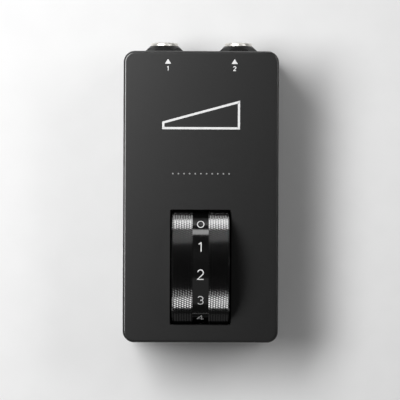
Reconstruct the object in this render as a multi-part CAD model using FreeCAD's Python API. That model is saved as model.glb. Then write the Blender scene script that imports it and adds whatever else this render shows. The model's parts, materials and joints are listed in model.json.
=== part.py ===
import FreeCAD, Part
import math
import os

from FreeCAD import Vector

# Foot-rolled volume control in a small die-cast box: a knurled wheel on a potentiometer shaft
# stands out of a window in the top face, and two 6.35 mm jack sockets are in the rear wall.
# Millimetres. +X is right, +Y is towards the jacks, +Z is up. z = 0 is the standing surface.
# Every piece is drawn about the enclosure's middle and then moved along Y by MIDDLE_Y, so that
# the origin is under the middle of the whole object, jacks included.

# Enclosure
BODY_WIDTH = 60.0
BODY_LENGTH = 112.5
FACE_HEIGHT = 38.0
CORNER_RADIUS = 4.4
FACE_EDGE_RADIUS = 1.0
WALL = 2.2
FACE_THICKNESS = 2.5
FOOT_HEIGHT = 3.0
PLATE_THICKNESS = 2.2
PLATE_EDGE_CHAMFER = 0.4

# Window in the top face, over the wheel
WINDOW_WIDTH = 23.25
WINDOW_LENGTH = 44.1
WINDOW_CORNER = 0.6
WINDOW_EDGE_CHAMFER = 0.25

# Wheel
WHEEL_Y = -27.2
WHEEL_DEPTH = 9.0
WHEEL_RADIUS = 22.4
BAND_RADIUS = 21.9
BAND_HALF_WIDTH = 3.1
WHEEL_HALF_WIDTH = 11.1
WHEEL_CHAMFER_WIDTH = 0.9
WHEEL_CHAMFER_DEPTH = 0.5
WHEEL_BORE_HALF_LENGTH = 7.5
WHEEL_RECESS_RADIUS = 9.0
WHEEL_ACCESS_RADIUS = 1.9
WHEEL_THREAD_TOP = 9.0
GRUB_TOP = 7.5
DIAL_STEP = 28.0
DIAL_STEPS = 10
DIAL_READING = 1.77

# Shaft, bearings and potentiometer
SHAFT_RADIUS = 3.0
SHAFT_GRIP = 0.02
RUNNING_GAP = 0.03
SHAFT_FLAT = 2.5
SHAFT_FLAT_HALF_LENGTH = 4.0
POT_THREAD_RADIUS = 3.5
POT_RADIUS = 6.2

# Jacks
JACK_X = 14.5
JACK_HEIGHT = 20.5
JACK_BORE_RADIUS = 3.25
JACK_THREAD_RADIUS = 5.3
JACK_NUT_ACROSS_FLATS = 12.7
JACK_NUT_THICKNESS = 2.2
JACK_NUT_STRAIGHT = 0.45
JACK_NUT_FACE_RIM = 0.3
JACK_WASHER_THICKNESS = 0.5
JACK_WASHER_RADIUS = 7.35
JACK_NOSE = 1.25
JACK_BODY_WIDTH = 14.0
JACK_BODY_HEIGHT = 13.0
JACK_BODY_LENGTH = 27.0

# Fasteners
SCREW_RADIUS = 1.5
SCREW_HEAD_RADIUS = 2.8
SCREW_HEAD_RIM = 0.2
SCREW_HEAD_CONE = 1.3
SCREW_CLEARANCE = 0.1
THREAD_GAP = 0.02

# Worked out from the driving dimensions
PLATE_BOTTOM = FOOT_HEIGHT
PLATE_TOP = PLATE_BOTTOM + PLATE_THICKNESS
CEILING = FACE_HEIGHT - FACE_THICKNESS
HALF_WIDTH = BODY_WIDTH / 2
HALF_LENGTH = BODY_LENGTH / 2
INNER_X = HALF_WIDTH - WALL
INNER_Y = HALF_LENGTH - WALL
WHEEL_Z = FACE_HEIGHT - WHEEL_DEPTH
JACK_REACH = JACK_WASHER_THICKNESS + JACK_NUT_THICKNESS + JACK_NOSE
MIDDLE_Y = -JACK_REACH / 2

# Bosses and screws that hold the base plate on
BOSS_RADIUS = 3.5
BOSS_INSET = 4.6
BOSS_X = HALF_WIDTH - BOSS_INSET
BOSS_Y = HALF_LENGTH - BOSS_INSET
BASE_SCREW_LENGTH = 12.0
BOSS_HOLE_DEPTH = 13.0

# Feet
FOOT_RADIUS = 5.5
FOOT_TAPER = 0.4
FOOT_EDGE = 0.6
FOOT_X = 19.5
FOOT_Y = 43.5

# Bearing brackets, one each side of the wheel
BRACKET_SHEET = 1.5
BRACKET_INNER_X = 14.0
BRACKET_OUTER_X = 25.0
BRACKET_BEND = 1.0
BRACKET_HALF_LENGTH = 11.0
BRACKET_NECK = 6.2
BRACKET_NECK_BOTTOM = 14.0
BRACKET_FLARE_BOTTOM = 9.0
BRACKET_SCREW_X = 20.5
BRACKET_SCREW_Y = 7.0
BRACKET_SCREW_LENGTH = 4.7
EAR_OUTER_X = BRACKET_INNER_X + BRACKET_SHEET

# Stations along the shaft, from the left end to the right
SHAFT_LEFT = -18.0
CLIP_FROM = -17.2
CLIP_TO = -16.6
CLIP_RADIUS = 5.0
CLIP_GROOVE_RADIUS = 2.3
CLIP_GROOVE_GAP = 0.05
CLIP_MOUTH = 3.6
BUSH_FROM = -16.3
BUSH_FLANGE_TO = -13.0
BUSH_RADIUS = 4.2
BUSH_FLANGE_RADIUS = 5.6
POT_THREAD_FROM = 10.6
POT_NUT_FROM = 12.0
POT_NUT_TO = 13.5
POT_NUT_ACROSS_FLATS = 10.0
POT_WASHER_RADIUS = 5.5
WAFER_FROM = 16.5
WAFER_TO = 17.7
WAFER_HOLE = 3.4
WAFER_TAB_REACH = 9.0
WAFER_TAB_HALF_HEIGHT = 5.5
WIPER_FROM = 18.2
WIPER_TO = 20.2
WIPER_RADIUS = 4.4
WIPER_PIN_RADIUS = 2.0
CAN_TO = 22.4
CAN_WALL = 0.5
SHAFT_RIGHT = 20.8

# Stops inside the potentiometer: a rib in the can and a tab on the wiper
STOP_RIB_RADIUS = 4.6
STOP_TAB_RADIUS = 5.4
STOP_RIB_ANGLE = 44.0
STOP_TAB_ANGLE = 30.0
STOP_RIB_AT = 90.0

# Terminals of the potentiometer
TERMINAL_PITCH = 3.6
TERMINAL_THICKNESS = 0.4
TERMINAL_WIDTH = 1.8
TERMINAL_FROM = 6.9
TERMINAL_TO = 13.5
RIVET_RADIUS = 0.6
RIVET_REACH = 7.9
TERMINAL_HOLE_REACH = 12.3
TERMINAL_HOLE_RADIUS = 0.5

# Circuit board and what is on it
BOARD_THICKNESS = 1.6
BOARD_TOP = JACK_HEIGHT - JACK_BODY_HEIGHT / 2
BOARD_BOTTOM = BOARD_TOP - BOARD_THICKNESS
BOARD_HALF_WIDTH = 21.5
BOARD_FRONT = 25.0
BOARD_REAR = 47.5
PIN_BELOW_BOARD = 1.2
PIN_END = BOARD_BOTTOM - PIN_BELOW_BOARD
HEADER_Y = 31.5
HEADER_PITCH = 2.54
HEADER_PIN = 0.64
HEADER_PIN_TOP = BOARD_TOP + 8.0
HEADER_BASE_TOP = BOARD_TOP + 2.5
HEADER_HALF_WIDTH = 4.3
HEADER_HALF_LENGTH = 2.0
PLUG_TOP = BOARD_TOP + 9.5
PLUG_HALF_WIDTH = 4.6
PLUG_HALF_LENGTH = 2.6
PLUG_CELL = 0.9
RESISTOR_X = 3.5
RESISTOR_Y = 41.5
RESISTOR_RADIUS = 1.15
RESISTOR_LIFT = 0.1
RESISTOR_LENGTH = 6.3
RESISTOR_LEAD_RADIUS = 0.3
RESISTOR_LEAD_REACH = 5.0
BOARD_HOLE_RADIUS = 0.65

# Spring contacts in each jack: which side of the plug, and where along the jack
JACK_CAVITY = 4.2
CONTACT_THICKNESS = 0.4
CONTACT_HALF_LENGTH = 2.4
CONTACT_HALF_HEIGHT = 1.5
CONTACT_CREST = 3.35
CONTACT_CREST_RADIUS = 1.6
CONTACT_PIN_HALF_WIDTH = 0.5
CONTACTS = ((1, 32.0), (-1, 38.0), (1, 44.0))
JACK_BACK_WALL = 1.5
JACK_THREAD_EMBED = 4.0
JACK_HOLE_RADIUS = 5.45
JACK_FRONT = INNER_Y
JACK_BACK = JACK_FRONT - JACK_BODY_LENGTH
JACK_NOSE_Y = HALF_LENGTH + JACK_REACH

# Harness wires, from the plug on the board to the terminals
WIRE_RADIUS = 0.55
WIRE_NAMES = ("wire_low", "wire_wiper", "wire_high")


def box(x_range, y_range, z_range):
    """A block, from the low and high value on each axis."""
    corner = Vector(x_range[0], y_range[0], z_range[0])
    size = [high - low for low, high in (x_range, y_range, z_range)]
    return Part.makeBox(size[0], size[1], size[2], corner)


def rod(radius, start, end):
    """A round bar from one point to another."""
    return Part.makeCylinder(radius, (end - start).Length, start, end - start)


def shaft_point(x):
    """The point on the wheel's axis at station x."""
    return Vector(x, WHEEL_Y, WHEEL_Z)


def shaft_rod(radius, x_from, x_to):
    """A round bar on the wheel's axis."""
    return rod(radius, shaft_point(x_from), shaft_point(x_to))


def shaft_ring(outer, inner, x_from, x_to):
    """A plain ring on the wheel's axis."""
    return shaft_rod(outer, x_from, x_to).cut(shaft_rod(inner, x_from, x_to))


def shaft_sector(outer, inner, x_from, x_to, middle_angle, spread):
    """Part of a ring on the wheel's axis. Angles turn from +Z towards +Y."""
    start = math.radians(middle_angle - spread / 2)
    end = math.radians(middle_angle + spread / 2)
    middle = math.radians(middle_angle)

    def on_circle(radius, angle):
        return shaft_point(x_from) + Vector(0, radius * math.sin(angle), radius * math.cos(angle))

    outer_arc = Part.Arc(*[on_circle(outer, angle) for angle in (start, middle, end)])
    inner_arc = Part.Arc(*[on_circle(inner, angle) for angle in (end, middle, start)])
    first_side = Part.LineSegment(on_circle(outer, end), on_circle(inner, end))
    last_side = Part.LineSegment(on_circle(inner, start), on_circle(outer, start))
    outline = Part.Wire([part.toShape() for part in (outer_arc, first_side, inner_arc, last_side)])
    return Part.Face(outline).extrude(Vector(x_to - x_from, 0, 0))


def hexagon(across_flats, centre, along, corner):
    """A hexagonal bar. One of its corners points along the direction corner."""
    radius = across_flats / math.sqrt(3)
    side = along.cross(corner).normalize()
    points = []
    for turn in range(7):
        angle = math.radians(60 * turn)
        spoke = corner * math.cos(angle) + side * math.sin(angle)
        points.append(centre + spoke * radius)
    return Part.Face(Part.makePolygon(points)).extrude(along)


def rounded_slab(half_width, half_length, z_low, z_high, corner):
    """An upright slab about the enclosure's middle, with its four upright edges rounded."""
    slab = box((-half_width, half_width), (-half_length, half_length), (z_low, z_high))
    upright = [edge for edge in slab.Edges if edge.BoundBox.ZLength > 0.9 * (z_high - z_low)]
    return slab.makeFillet(corner, upright)


def edges_at_height(shape, height):
    """The edges of a shape that lie in one level plane."""
    return [edge for edge in shape.Edges
            if abs(edge.BoundBox.ZMin - height) < 1e-4 and abs(edge.BoundBox.ZMax - height) < 1e-4]


def four_corners(x, y):
    """The four mirror images of a point, front left first."""
    return [(-x, -y), (x, -y), (-x, y), (x, y)]


def bracket_screw_places():
    """Where the bracket screws pass through the base plate."""
    return [(side * BRACKET_SCREW_X, WHEEL_Y + step * BRACKET_SCREW_Y)
            for side in (-1, 1) for step in (-1, 1)]


def screw_head(x, y):
    """The countersunk head's outline, flush with the base plate's underside."""
    rim_top = Vector(x, y, PLATE_BOTTOM + SCREW_HEAD_RIM)
    rim = rod(SCREW_HEAD_RADIUS, Vector(x, y, PLATE_BOTTOM), rim_top)
    cone = Part.makeCone(SCREW_HEAD_RADIUS, SCREW_RADIUS, SCREW_HEAD_CONE, rim_top)
    return rim.fuse(cone)


def countersunk_screw(x, y, length):
    """A cross-recessed screw that points up, with its head in the base plate."""
    slot_half_length = 1.5
    slot_half_width = 0.3
    recess_depth = 1.1
    shank_start = Vector(x, y, PLATE_BOTTOM + SCREW_HEAD_RIM)
    shank = rod(SCREW_RADIUS, shank_start, Vector(x, y, PLATE_BOTTOM + length))
    screw = screw_head(x, y).fuse(shank)
    for half_x, half_y in ((slot_half_length, slot_half_width), (slot_half_width, slot_half_length)):
        slot = box((x - half_x, x + half_x), (y - half_y, y + half_y),
                   (PLATE_BOTTOM, PLATE_BOTTOM + recess_depth))
        screw = screw.cut(slot)
    return screw.removeSplitter()


def enclosure_shell():
    """Die-cast cover, open below, with a window for the wheel and two holes for the jacks."""
    outside = rounded_slab(HALF_WIDTH, HALF_LENGTH, PLATE_TOP, FACE_HEIGHT, CORNER_RADIUS)
    outside = outside.makeFillet(FACE_EDGE_RADIUS, edges_at_height(outside, FACE_HEIGHT))
    inside = rounded_slab(INNER_X, INNER_Y, PLATE_TOP, CEILING, CORNER_RADIUS - WALL)
    shell = outside.cut(inside)
    for x, y in four_corners(BOSS_X, BOSS_Y):
        shell = shell.fuse(rod(BOSS_RADIUS, Vector(x, y, PLATE_TOP), Vector(x, y, CEILING)))
    for x, y in four_corners(BOSS_X, BOSS_Y):
        hole_top = Vector(x, y, PLATE_TOP + BOSS_HOLE_DEPTH)
        shell = shell.cut(rod(SCREW_RADIUS + THREAD_GAP, Vector(x, y, PLATE_TOP), hole_top))
    for side in (-1, 1):
        inner_end = Vector(side * JACK_X, INNER_Y - 1, JACK_HEIGHT)
        outer_end = Vector(side * JACK_X, HALF_LENGTH + 1, JACK_HEIGHT)
        shell = shell.cut(rod(JACK_HOLE_RADIUS, inner_end, outer_end))
    return shell.cut(window_opening()).removeSplitter()


def window_opening():
    """The space that the window takes out of the top face, with a small bevel at its rim."""
    bevel = WINDOW_EDGE_CHAMFER
    bevel_bottom = FACE_HEIGHT - bevel
    half_width = WINDOW_WIDTH / 2
    half_length = WINDOW_LENGTH / 2
    opening = rounded_slab(half_width, half_length, CEILING - 1, FACE_HEIGHT, WINDOW_CORNER)
    rim = rounded_slab(half_width + bevel, half_length + bevel, bevel_bottom, FACE_HEIGHT + 1,
                       WINDOW_CORNER + bevel)
    opening = opening.fuse(rim.makeChamfer(bevel, edges_at_height(rim, bevel_bottom)))
    opening.translate(Vector(0, WHEEL_Y, 0))
    return opening


def base_plate():
    """Flat lid under the box, with locating bars that sit just inside the shell's walls."""
    bar_gap = 0.2
    bar_width = 1.6
    bar_height = 2.0
    side_bar_half = 44.0
    end_bar_half = 17.0
    plate = rounded_slab(HALF_WIDTH, HALF_LENGTH, PLATE_BOTTOM, PLATE_TOP, CORNER_RADIUS)
    plate = plate.makeChamfer(PLATE_EDGE_CHAMFER, edges_at_height(plate, PLATE_BOTTOM))
    bar_z = (PLATE_TOP, PLATE_TOP + bar_height)
    outer_x = INNER_X - bar_gap
    outer_y = INNER_Y - bar_gap
    for low_x, high_x in ((-outer_x, bar_width - outer_x), (outer_x - bar_width, outer_x)):
        plate = plate.fuse(box((low_x, high_x), (-side_bar_half, side_bar_half), bar_z))
    for low_y, high_y in ((-outer_y, bar_width - outer_y), (outer_y - bar_width, outer_y)):
        plate = plate.fuse(box((-end_bar_half, end_bar_half), (low_y, high_y), bar_z))
    for x, y in four_corners(BOSS_X, BOSS_Y) + bracket_screw_places():
        hole = rod(SCREW_RADIUS + SCREW_CLEARANCE, Vector(x, y, PLATE_BOTTOM),
                   Vector(x, y, PLATE_TOP))
        plate = plate.cut(hole.fuse(screw_head(x, y)))
    return plate.removeSplitter()


def base_screws():
    """Four screws that hold the base plate on the shell's bosses."""
    return Part.makeCompound([countersunk_screw(x, y, BASE_SCREW_LENGTH)
                              for x, y in four_corners(BOSS_X, BOSS_Y)])


def bracket_screws():
    """Four short screws that hold the two bearing brackets on the base plate."""
    return Part.makeCompound([countersunk_screw(x, y, BRACKET_SCREW_LENGTH)
                              for x, y in bracket_screw_places()])


def rubber_foot(x, y):
    """Stick-on rubber foot, a little narrower at the floor."""
    foot = Part.makeCone(FOOT_RADIUS - FOOT_TAPER, FOOT_RADIUS, FOOT_HEIGHT, Vector(x, y, 0))
    return foot.makeFillet(FOOT_EDGE, edges_at_height(foot, 0))


def bearing_bracket(side):
    """Bent steel bracket: an upright ear that carries the shaft, and a flange on the base plate."""
    flange_top = PLATE_TOP + BRACKET_SHEET
    x_low, x_high = sorted((side * BRACKET_INNER_X, side * BRACKET_OUTER_X))
    ear_top = WHEEL_Z + BRACKET_NECK
    block = box((x_low, x_high), (WHEEL_Y - BRACKET_HALF_LENGTH, WHEEL_Y + BRACKET_HALF_LENGTH),
                (PLATE_TOP, ear_top))
    heel = [edge for edge in block.Edges if edge.BoundBox.YLength > 1
            and abs(edge.BoundBox.ZMax - PLATE_TOP) < 1e-4
            and abs(edge.BoundBox.XMin - side * BRACKET_INNER_X) < 1e-4]
    block = block.makeFillet(BRACKET_BEND + BRACKET_SHEET, heel)
    hollow_low, hollow_high = sorted((side * EAR_OUTER_X, side * (BRACKET_OUTER_X + 1)))
    hollow = box((hollow_low, hollow_high),
                 (WHEEL_Y - BRACKET_HALF_LENGTH - 1, WHEEL_Y + BRACKET_HALF_LENGTH + 1),
                 (flange_top, ear_top + 1))
    inner_heel = [edge for edge in hollow.Edges if edge.BoundBox.YLength > 1
                  and abs(edge.BoundBox.ZMax - flange_top) < 1e-4
                  and abs(edge.BoundBox.XMin - side * EAR_OUTER_X) < 1e-4]
    bracket = block.cut(hollow.makeFillet(BRACKET_BEND, inner_heel)).common(ear_outline(x_low, x_high))
    hole_radius = BUSH_RADIUS if side < 0 else POT_THREAD_RADIUS + THREAD_GAP
    bracket = bracket.cut(shaft_rod(hole_radius, x_low, x_high))
    for x, y in bracket_screw_places():
        hole_start = Vector(x, y, PLATE_TOP)
        bracket = bracket.cut(rod(SCREW_RADIUS + THREAD_GAP, hole_start, Vector(x, y, flange_top)))
    return bracket.removeSplitter()


def ear_outline(x_low, x_high):
    """The bracket's outline seen along the shaft: a round-headed neck on a wide foot."""
    neck_low = WHEEL_Y - BRACKET_NECK
    neck_high = WHEEL_Y + BRACKET_NECK
    foot_low = WHEEL_Y - BRACKET_HALF_LENGTH
    foot_high = WHEEL_Y + BRACKET_HALF_LENGTH
    corners = [Vector(x_low, y, z) for y, z in (
        (neck_low, WHEEL_Z), (neck_low, BRACKET_NECK_BOTTOM), (foot_low, BRACKET_FLARE_BOTTOM),
        (foot_low, PLATE_TOP), (foot_high, PLATE_TOP), (foot_high, BRACKET_FLARE_BOTTOM),
        (neck_high, BRACKET_NECK_BOTTOM), (neck_high, WHEEL_Z))]
    head = Part.Arc(corners[-1], Vector(x_low, WHEEL_Y, WHEEL_Z + BRACKET_NECK), corners[0])
    sides = [Part.LineSegment(start, end).toShape() for start, end in zip(corners, corners[1:])]
    return Part.Face(Part.Wire(sides + [head.toShape()])).extrude(Vector(x_high - x_low, 0, 0))


def dial_direction(number):
    """The direction from the axis to a number on the dial. The numbers run towards the front."""
    angle = math.radians((number - DIAL_READING) * DIAL_STEP)
    return Vector(0, -math.sin(angle), math.cos(angle))


def roller_wheel():
    """Turned wheel: two raised bands for the knurl, a smooth dial band between them, and a recess
    in each side that clears the shaft's bearings."""
    half = [(WHEEL_BORE_HALF_LENGTH, SHAFT_RADIUS + SHAFT_GRIP),
            (WHEEL_BORE_HALF_LENGTH, WHEEL_RECESS_RADIUS), (WHEEL_HALF_WIDTH, WHEEL_RECESS_RADIUS),
            (WHEEL_HALF_WIDTH, WHEEL_RADIUS - WHEEL_CHAMFER_DEPTH),
            (WHEEL_HALF_WIDTH - WHEEL_CHAMFER_WIDTH, WHEEL_RADIUS), (BAND_HALF_WIDTH, WHEEL_RADIUS),
            (BAND_HALF_WIDTH, BAND_RADIUS)]
    outline = half + [(-x, radius) for x, radius in reversed(half)]
    points = [shaft_point(x) + Vector(0, 0, radius) for x, radius in outline + outline[:1]]
    wheel = Part.Face(Part.makePolygon(points)).revolve(shaft_point(0), Vector(1, 0, 0), 360)
    centre = shaft_point(0)
    direction = grub_direction()
    thread = rod(SCREW_RADIUS, centre, centre + direction * WHEEL_THREAD_TOP)
    access = rod(WHEEL_ACCESS_RADIUS, centre + direction * WHEEL_THREAD_TOP,
                 centre + direction * (WHEEL_RADIUS + 1))
    return wheel.cut(thread).cut(access).removeSplitter()


def grub_direction():
    """The grub screw is in the blank stretch of the dial, one step before its zero."""
    return dial_direction(-1)


def wheel_grub_screw():
    """Hexagon-socket grub screw that bears on the shaft's flat, reached through the rim."""
    socket_across_flats = 1.5
    socket_depth = 2.0
    direction = grub_direction()
    tip = shaft_point(0) + direction * SHAFT_FLAT
    end = shaft_point(0) + direction * GRUB_TOP
    socket = hexagon(socket_across_flats, end, direction * -socket_depth, Vector(1, 0, 0))
    return rod(SCREW_RADIUS - THREAD_GAP, tip, end).cut(socket)


def pot_shaft():
    """Shaft with a flat for the grub screw, a groove for its clip and a pin for the wiper."""
    shaft = shaft_rod(SHAFT_RADIUS, SHAFT_LEFT, WIPER_FROM)
    shaft = shaft.fuse(shaft_rod(WIPER_PIN_RADIUS, WIPER_FROM, SHAFT_RIGHT))
    groove = shaft_ring(SHAFT_RADIUS + 1, CLIP_GROOVE_RADIUS,
                        CLIP_FROM - CLIP_GROOVE_GAP, CLIP_TO + CLIP_GROOVE_GAP)
    direction = grub_direction()
    flat_start = shaft_point(0) + direction * SHAFT_FLAT
    flat_end = shaft_point(0) + direction * (SHAFT_RADIUS + 1)
    across = direction.cross(Vector(1, 0, 0))
    corners = [flat_start + Vector(x, 0, 0) + across * width for x, width in (
        (-SHAFT_FLAT_HALF_LENGTH, -SHAFT_RADIUS), (SHAFT_FLAT_HALF_LENGTH, -SHAFT_RADIUS),
        (SHAFT_FLAT_HALF_LENGTH, SHAFT_RADIUS), (-SHAFT_FLAT_HALF_LENGTH, SHAFT_RADIUS))]
    flat = Part.Face(Part.makePolygon(corners + corners[:1])).extrude(flat_end - flat_start)
    return shaft.cut(groove).cut(flat).removeSplitter()


def shaft_clip():
    """Spring clip in the shaft's groove, open at one side."""
    clip = shaft_ring(CLIP_RADIUS, CLIP_GROOVE_RADIUS, CLIP_FROM, CLIP_TO)
    mouth = box((CLIP_FROM, CLIP_TO), (WHEEL_Y - CLIP_RADIUS, WHEEL_Y),
                (WHEEL_Z - CLIP_MOUTH / 2, WHEEL_Z + CLIP_MOUTH / 2))
    return clip.cut(mouth)


def shaft_bush():
    """Flanged bronze bush in the left bracket's ear."""
    body = shaft_rod(BUSH_RADIUS, BUSH_FROM, BUSH_FLANGE_TO)
    flange = shaft_rod(BUSH_FLANGE_RADIUS, -BRACKET_INNER_X, BUSH_FLANGE_TO)
    bore = shaft_rod(SHAFT_RADIUS + RUNNING_GAP, BUSH_FROM, BUSH_FLANGE_TO)
    return body.fuse(flange).cut(bore).removeSplitter()


def pot_bushing():
    """The potentiometer's threaded bushing and front plate, in the right bracket's ear."""
    body = shaft_rod(POT_THREAD_RADIUS, POT_THREAD_FROM, WAFER_FROM)
    plate = shaft_rod(POT_RADIUS, EAR_OUTER_X, WAFER_FROM)
    bore = shaft_rod(SHAFT_RADIUS + RUNNING_GAP, POT_THREAD_FROM, WAFER_FROM)
    return body.fuse(plate).cut(bore).removeSplitter()


def pot_washer():
    """Flat washer between the potentiometer's nut and the ear."""
    return shaft_ring(POT_WASHER_RADIUS, POT_THREAD_RADIUS + THREAD_GAP, POT_NUT_TO, BRACKET_INNER_X)


def pot_nut():
    """Hexagonal nut on the potentiometer's bushing."""
    along = Vector(POT_NUT_TO - POT_NUT_FROM, 0, 0)
    bar = hexagon(POT_NUT_ACROSS_FLATS, shaft_point(POT_NUT_FROM), along, Vector(0, 0, 1))
    return bar.cut(shaft_rod(POT_THREAD_RADIUS + THREAD_GAP, POT_NUT_FROM, POT_NUT_TO))


def terminal_heights():
    """Heights of the three terminals, lowest first."""
    return [WHEEL_Z + step * TERMINAL_PITCH for step in (-1, 0, 1)]


def rivet(height, x_from, x_to):
    """The rivet that holds one terminal on the wafer."""
    y = WHEEL_Y + RIVET_REACH
    return rod(RIVET_RADIUS, Vector(x_from, y, height), Vector(x_to, y, height))


def pot_wafer():
    """Track board of the potentiometer, with a tab that carries the terminals."""
    tab = box((WAFER_FROM, WAFER_TO), (WHEEL_Y, WHEEL_Y + WAFER_TAB_REACH),
              (WHEEL_Z - WAFER_TAB_HALF_HEIGHT, WHEEL_Z + WAFER_TAB_HALF_HEIGHT))
    wafer = shaft_rod(POT_RADIUS, WAFER_FROM, WAFER_TO).fuse(tab)
    wafer = wafer.cut(shaft_rod(WAFER_HOLE, WAFER_FROM, WAFER_TO))
    for height in terminal_heights():
        wafer = wafer.cut(rivet(height, WAFER_FROM, WAFER_TO))
    return wafer.removeSplitter()


def pot_terminals():
    """Three solder lugs, each riveted through the wafer."""
    lugs = []
    for height in terminal_heights():
        blade = box((WAFER_TO, WAFER_TO + TERMINAL_THICKNESS),
                    (WHEEL_Y + TERMINAL_FROM, WHEEL_Y + TERMINAL_TO),
                    (height - TERMINAL_WIDTH / 2, height + TERMINAL_WIDTH / 2))
        hole_y = WHEEL_Y + TERMINAL_HOLE_REACH
        hole = rod(TERMINAL_HOLE_RADIUS, Vector(WAFER_TO, hole_y, height),
                   Vector(WAFER_TO + TERMINAL_THICKNESS, hole_y, height))
        lug = blade.fuse(rivet(height, WAFER_FROM, WAFER_TO + TERMINAL_THICKNESS)).cut(hole)
        lugs.append(lug.removeSplitter())
    return Part.makeCompound(lugs)


def pot_wiper():
    """Rotor on the shaft's pin, with its stop tab and two fingers that reach for the track."""
    finger_radius = 0.35
    finger_reach = 3.95
    finger_end = WAFER_TO + 0.15
    middle_of_range = DIAL_STEPS * DIAL_STEP / 2 - DIAL_READING * DIAL_STEP
    tab_at = STOP_RIB_AT + 180 - middle_of_range
    rotor = shaft_rod(WIPER_RADIUS, WIPER_FROM, WIPER_TO)
    rotor = rotor.fuse(shaft_sector(STOP_TAB_RADIUS, WIPER_RADIUS - 1, WIPER_FROM, WIPER_TO,
                                    tab_at, STOP_TAB_ANGLE))
    for finger_angle in (tab_at + 165, tab_at + 195):
        angle = math.radians(finger_angle)
        offset = Vector(0, finger_reach * math.sin(angle), finger_reach * math.cos(angle))
        rotor = rotor.fuse(rod(finger_radius, shaft_point(finger_end) + offset,
                               shaft_point(WIPER_FROM) + offset))
    return rotor.cut(shaft_rod(WIPER_PIN_RADIUS, WIPER_FROM - 1, WIPER_TO)).removeSplitter()


def pot_can():
    """Round cover over the wiper, with an inward rib that stops the wiper's tab."""
    can = shaft_rod(POT_RADIUS, WAFER_TO, CAN_TO)
    can = can.cut(shaft_rod(POT_RADIUS - CAN_WALL, WAFER_TO, CAN_TO - CAN_WALL))
    rib = shaft_sector(POT_RADIUS - CAN_WALL / 2, STOP_RIB_RADIUS, WAFER_TO, CAN_TO - CAN_WALL,
                       STOP_RIB_AT, STOP_RIB_ANGLE)
    return can.fuse(rib).removeSplitter()


def jack_point(side, y):
    """The point on one jack's axis at station y."""
    return Vector(side * JACK_X, y, JACK_HEIGHT)


def contact_pin(side, contact_side, y):
    """The leg of a spring contact, down through the jack's floor and the board."""
    x = side * JACK_X
    inner = x + contact_side * (JACK_CAVITY - CONTACT_THICKNESS)
    outer = x + contact_side * JACK_CAVITY
    y_range = (y - CONTACT_PIN_HALF_WIDTH, y + CONTACT_PIN_HALF_WIDTH)
    return box(sorted((inner, outer)), y_range, (PIN_END, JACK_HEIGHT))


def jack_housing(side):
    """Black moulded body of a jack, with the space that the plug goes into."""
    x = side * JACK_X
    half_width = JACK_BODY_WIDTH / 2
    edge_radius = 0.6
    body = box((x - half_width, x + half_width), (JACK_BACK, JACK_FRONT),
               (BOARD_TOP, BOARD_TOP + JACK_BODY_HEIGHT))
    top_edges = edges_at_height(body, BOARD_TOP + JACK_BODY_HEIGHT)
    body = body.makeFillet(edge_radius, top_edges)
    thread_end = JACK_FRONT - JACK_THREAD_EMBED
    cavity = box((x - JACK_CAVITY, x + JACK_CAVITY), (JACK_BACK + JACK_BACK_WALL, thread_end),
                 (JACK_HEIGHT - JACK_CAVITY, JACK_HEIGHT + JACK_CAVITY))
    body = body.cut(cavity).cut(rod(JACK_THREAD_RADIUS, jack_point(side, thread_end),
                                    jack_point(side, JACK_FRONT)))
    for contact_side, y in CONTACTS:
        body = body.cut(contact_pin(side, contact_side, y))
    return body.removeSplitter()


def jack_bushing(side):
    """Nickel-plated threaded bushing that guides the plug."""
    nose_rounding = 0.6
    mouth_chamfer = 0.4
    start = jack_point(side, JACK_FRONT - JACK_THREAD_EMBED)
    end = jack_point(side, JACK_NOSE_Y)
    bushing = rod(JACK_THREAD_RADIUS, start, end)
    rim = [edge for edge in bushing.Edges if abs(edge.BoundBox.YMin - JACK_NOSE_Y) < 1e-4]
    bushing = bushing.makeFillet(nose_rounding, rim)
    mouth = Part.makeCone(JACK_BORE_RADIUS, JACK_BORE_RADIUS + mouth_chamfer, mouth_chamfer,
                          jack_point(side, JACK_NOSE_Y - mouth_chamfer), Vector(0, 1, 0))
    return bushing.cut(rod(JACK_BORE_RADIUS, start, end)).cut(mouth)


def jack_washer(side):
    """Black washer under a jack's nut."""
    start = jack_point(side, HALF_LENGTH)
    end = jack_point(side, HALF_LENGTH + JACK_WASHER_THICKNESS)
    return rod(JACK_WASHER_RADIUS, start, end).cut(rod(JACK_THREAD_RADIUS + THREAD_GAP, start, end))


def jack_nut(side):
    """Black hexagonal nut with a long conical chamfer towards its outer face."""
    face_radius = JACK_THREAD_RADIUS + JACK_NUT_FACE_RIM
    corner_radius = JACK_NUT_ACROSS_FLATS / math.sqrt(3)
    start = jack_point(side, HALF_LENGTH + JACK_WASHER_THICKNESS)
    along = Vector(0, JACK_NUT_THICKNESS, 0)
    bar = hexagon(JACK_NUT_ACROSS_FLATS, start, along, Vector(1, 0, 0))
    cone_start = start + Vector(0, JACK_NUT_STRAIGHT, 0)
    cone_length = JACK_NUT_THICKNESS - JACK_NUT_STRAIGHT
    cylinder = rod(corner_radius, start, cone_start)
    cone = Part.makeCone(corner_radius, face_radius, cone_length, cone_start, Vector(0, 1, 0))
    nut = bar.common(cylinder.fuse(cone))
    return nut.cut(rod(JACK_THREAD_RADIUS + THREAD_GAP, start, start + along)).removeSplitter()


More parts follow.
